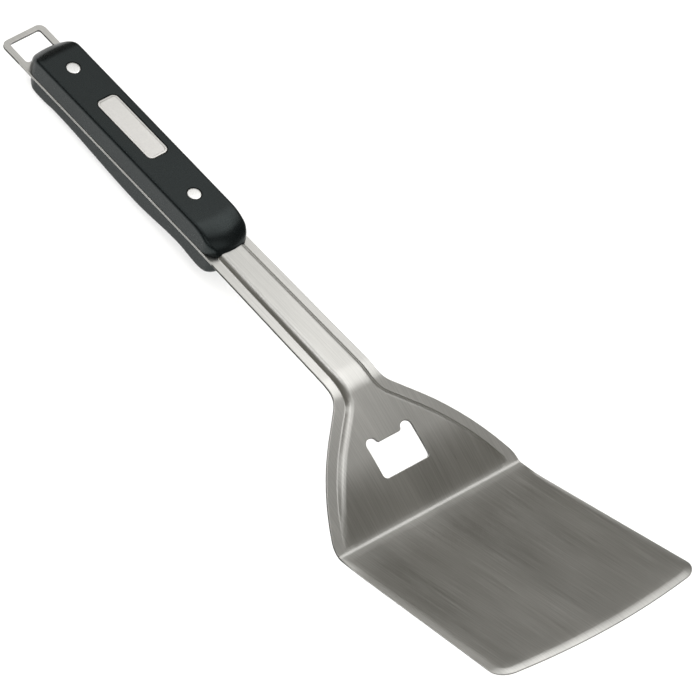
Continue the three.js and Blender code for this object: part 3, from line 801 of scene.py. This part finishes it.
class Surface:
    """A Principled material with short calls for the nodes that feed it."""

    def __init__(self, name, colour, metallic, roughness, **sockets):
        self.material = bpy.data.materials.new(name)
        self.material.use_nodes = True
        self.nodes = self.material.node_tree.nodes
        self.links = self.material.node_tree.links
        self.shader = self.nodes["Principled BSDF"]
        self.shader.inputs["Base Color"].default_value = (*colour, 1)
        self.shader.inputs["Metallic"].default_value = metallic
        self.shader.inputs["Roughness"].default_value = roughness
        for socket, value in sockets.items():
            self.shader.inputs[socket.replace("_", " ")].default_value = value

    def node(self, kind, settings=(), **inputs):
        """Adds a shader node; its inputs are numbers or other nodes' outputs."""
        made = self.nodes.new("ShaderNode" + kind)
        for key, value in dict(settings).items():
            setattr(made, key, value)
        for key, value in inputs.items():
            socket = made.inputs[key.replace("_", " ")]
            if isinstance(value, bpy.types.NodeSocket):
                self.links.new(value, socket)
            else:
                socket.default_value = value
        return made

    def noise(self, where, stretch, detail=3.0, roughness=0.55):
        """Noise of this many cells per metre along each axis of where."""
        mapped = self.node("Mapping", Vector=where, Scale=stretch)
        return self.node("TexNoise", Vector=mapped.outputs[0], Scale=1.0, Detail=detail,
                         Roughness=roughness).outputs["Fac"]

    def spread(self, value, low, high, to_low=0.0, to_high=1.0):
        """Stretches a value from one range to another, and holds it at the ends."""
        spread = self.node("MapRange", {"clamp": True}, Value=value)
        limits = {"From Min": low, "From Max": high, "To Min": to_low, "To Max": to_high}
        for socket, number in limits.items():
            spread.inputs[socket].default_value = number
        return spread.outputs[0]

    def mix(self, factor, first, second):
        """Blends two colours, each a triple or another node's output."""
        mixed = self.node("Mix", {"data_type": "RGBA"})
        self.links.new(factor, mixed.inputs["Factor"])
        for socket, colour in ((mixed.inputs["A"], first), (mixed.inputs["B"], second)):
            if isinstance(colour, bpy.types.NodeSocket):
                self.links.new(colour, socket)
            else:
                socket.default_value = (*colour, 1)
        return mixed.outputs["Result"]

    def add(self, *values):
        """The sum of several outputs."""
        total = values[0]
        for value in values[1:]:
            total = self.node("Math", {"operation": "ADD"}, Value=total)
            self.links.new(value, total.inputs[1])
            total = total.outputs[0]
        return total

    def distance_from_crease(self, blank):
        """Distance along the blank from its crease, in metres."""
        along = self.node("SeparateXYZ", Vector=blank).outputs["X"]
        return self.node("Math", {"operation": "ABSOLUTE"}, Value=along).outputs[0]

    def set(self, socket, value):
        """Feeds one socket of the material's shader."""
        self.links.new(value, self.shader.inputs[socket])

    def bump(self, height, distance, strength=1.0):
        bump = self.node("Bump", Height=height, Distance=distance, Strength=strength)
        self.set("Normal", bump.outputs[0])


def brushed_steel():
    """Stainless sheet brushed along its length, with faint smudges, a few fine scratches and painted
    shade on its cut edges.
    """
    steel = Surface("brushed_stainless", (0.6, 0.595, 0.58), 1.0, 0.32, Anisotropic=0.36,
                    Anisotropic_Rotation=0.25)
    blank = steel.node("UVMap", {"uv_map": "blank"}).outputs[0]
    tangent = steel.node("Tangent", {"direction_type": "UV_MAP", "uv_map": "blank"}).outputs[0]
    steel.set("Tangent", tangent)
    fine = steel.noise(blank, (25, 1300, 1), detail=4, roughness=0.7)
    coarse = steel.noise(blank, (5, 300, 1), detail=3)
    cloud = steel.noise(blank, (14, 34, 1), detail=4)
    burnish = steel.spread(steel.distance_from_crease(blank), 0.001, 0.006, 0.12, 0)
    fine_streaks = steel.spread(fine, 0.3, 0.7, -0.03, 0.03)
    coarse_streaks = steel.spread(coarse, 0.3, 0.7, -0.015, 0.015)
    streaks = steel.add(burnish, fine_streaks, coarse_streaks)
    steel.set("Roughness", steel.add(steel.spread(cloud, 0.3, 0.7, 0.3, 0.34), streaks))
    band = steel.noise(blank, (3, 30, 1), detail=2)
    tone = steel.add(steel.spread(fine, 0.35, 0.65, 0, 0.6), steel.spread(band, 0.38, 0.62, 0, 0.4))
    tint = steel.mix(tone, (0.465, 0.463, 0.446), (0.63, 0.623, 0.6))
    # Painted shade: the faces of the cut edges are painted nearly black, and the tang's edges between
    # the scales only partly.
    painted_edge_shade = steel.node("Attribute", {"attribute_name": "painted_edge_shade"}).outputs["Fac"]
    steel.set("Base Color", steel.mix(painted_edge_shade, tint, (0.045, 0.044, 0.042)))
    steel.bump(fine, 0.00002, 0.6)
    return steel.material


def black_resin():
    """Satin moulded resin with a fine grain and slight wear of its sheen."""
    resin = Surface("black_resin", (0.002, 0.003, 0.003), 0.0, 0.3, IOR=1.42)
    resin.shader.inputs["Specular Tint"].default_value = (0.86, 1.0, 0.99, 1)
    where = resin.node("TexCoord").outputs["Object"]
    grain = resin.noise(where, (1700, 1700, 1700), detail=3)
    cloud = resin.noise(where, (60, 60, 60), detail=3)
    resin.set("Roughness", resin.add(resin.spread(cloud, 0.3, 0.7, 0.26, 0.33),
                                     resin.spread(grain, 0.3, 0.7, -0.06, 0.06)))
    tone = resin.spread(cloud, 0.3, 0.7)
    resin.set("Base Color", resin.mix(tone, (0.0012, 0.002, 0.0025), (0.0025, 0.003, 0.0035)))
    resin.bump(grain, 0.00005, 0.55)
    return resin.material


def satin_metal(name, colour, roughness, grain_scale):
    """Cast or turned bright metal with a fine matt grain."""
    metal = Surface(name, colour, 1.0, roughness)
    where = metal.node("TexCoord").outputs["Object"]
    grain = metal.noise(where, (grain_scale,) * 3, detail=3)
    cloud = metal.noise(where, (700, 700, 700), detail=2)
    metal.set("Roughness", metal.spread(grain, 0.3, 0.7, roughness - 0.06, roughness + 0.08))
    darker = tuple(0.96 * c for c in colour)
    metal.set("Base Color", metal.mix(metal.spread(cloud, 0.35, 0.65), darker, colour))
    metal.bump(grain, 0.00004, 0.4)
    return metal.material


def foam_tape():
    """Off-white foam with fine open cells."""
    tape = Surface("foam_tape", (0.6, 0.58, 0.52), 0.0, 0.85)
    cells = tape.noise(tape.node("TexCoord").outputs["Object"], (3000, 3000, 3000), detail=2)
    tone = tape.spread(cells, 0.35, 0.65)
    tape.set("Base Color", tape.mix(tone, (0.52, 0.5, 0.45), (0.64, 0.62, 0.57)))
    tape.bump(cells, 0.00005, 0.6)
    return tape.material


# ---------------------------------------------------------------- stage


def floor():
    """A wide pale table top, with the faintest unevenness in its tone."""
    shape = bmesh.new()
    bmesh.ops.create_grid(shape, x_segments=2, y_segments=2, size=3.0)
    mesh = bpy.data.meshes.new("floor")
    shape.to_mesh(mesh)
    shape.free()
    pale = Surface("pale_floor", (0.9, 0.9, 0.9), 0.0, 0.9)
    tone = pale.noise(pale.node("TexCoord").outputs["Object"], (3, 3, 3), detail=2)
    tone = pale.spread(tone, 0.3, 0.7)
    pale.set("Base Color", pale.mix(tone, (0.9, 0.9, 0.9), (0.92, 0.92, 0.92)))
    mesh.materials.append(pale.material)
    plane = bpy.data.objects.new("floor", mesh)
    bpy.context.scene.collection.objects.link(plane)
    plane.location.z = -0.0002


def direction(azimuth, elevation):
    """Unit vector from the object towards a place; azimuth 0 is -Y and 90 is +X."""
    a, e = math.radians(azimuth), math.radians(elevation)
    return Vector((math.sin(a) * math.cos(e), -math.cos(a) * math.cos(e), math.sin(e)))


def softbox(name, azimuth, elevation, distance, size, radiance):
    """A rectangular light of this brightness that faces the origin."""
    light = bpy.data.lights.new(name, "AREA")
    light.shape = "RECTANGLE"
    light.size, light.size_y = size
    light.energy = radiance * math.pi * size[0] * size[1]
    lamp = bpy.data.objects.new(name, light)
    towards = direction(azimuth, elevation)
    lamp.location = distance * towards
    lamp.rotation_euler = towards.to_track_quat("Z", "Y").to_euler()
    bpy.context.scene.collection.objects.link(lamp)
    return lamp


def lights():
    """A soft studio: boxes placed for their reflections in the steel, and one that only fills."""
    world = bpy.data.worlds.new("studio")
    world.use_nodes = True
    background = world.node_tree.nodes["Background"]
    background.inputs["Color"].default_value = (1.0, 0.95, 0.81, 1)
    background.inputs["Strength"].default_value = 0.13
    bpy.context.scene.world = world
    softbox("key", 243, 65, 1.64, (2.04, 1.93), 0.9)
    softbox("strip", 308, 49, 1.52, (0.14, 1.6), 2.6)
    softbox("neck", 166, 58, 1.2, (0.36, 0.36), 0.55)
    softbox("front", 38, 40, 2.5, (2.0, 1.5), 0.75)
    softbox("side", 105, 40, 2.5, (1.2, 1.5), 0.65)
    softbox("glint", 198.5, 56.7, 0.8, (0.52, 0.21), 1.5)
    fill = softbox("fill", 32, 50, 3.0, (3.0, 3.0), 4.6)
    fill.visible_glossy = False
    fill.data.use_shadow = False


def camera():
    """The photograph's long lens: its direction, its roll and the point it is centred on."""
    aim = Vector((0.0182, 0.0145, 0.02))
    back = direction(32.167, 50.339)
    across = Vector((0, 0, 1)).cross(back).normalized()
    up = back.cross(across)
    roll = math.radians(22.84)
    right = across * math.cos(roll) + up * math.sin(roll)
    above = back.cross(right)
    view = bpy.data.cameras.new("photo_view")
    view.lens = 661
    view.sensor_width = 36
    view.clip_end = 100
    holder = bpy.data.objects.new("photo_view", view)
    turn = Matrix((right, above, back)).transposed().to_4x4()
    holder.matrix_world = Matrix.Translation(aim + 6.481 * back) @ turn
    bpy.context.scene.collection.objects.link(holder)
    bpy.context.scene.camera = holder


def build():
    """Stages the scene and makes every piece."""
    camera()
    lights()
    floor()
    steel = brushed_steel()
    finish_piece(turner_body(), "turner_body", steel)
    handle_scales(black_resin())
    bright = satin_metal("rivet_metal", (0.88, 0.88, 0.87), 0.3, 1800)
    for place, x in RIVETS.items():
        rivet_pieces(place, x, bright)
    plate = satin_metal("plate_metal", (0.82, 0.81, 0.79), 0.42, 2400)
    plate_pieces(plate, foam_tape())
    bpy.context.scene.view_settings.view_transform = "Standard"


build()
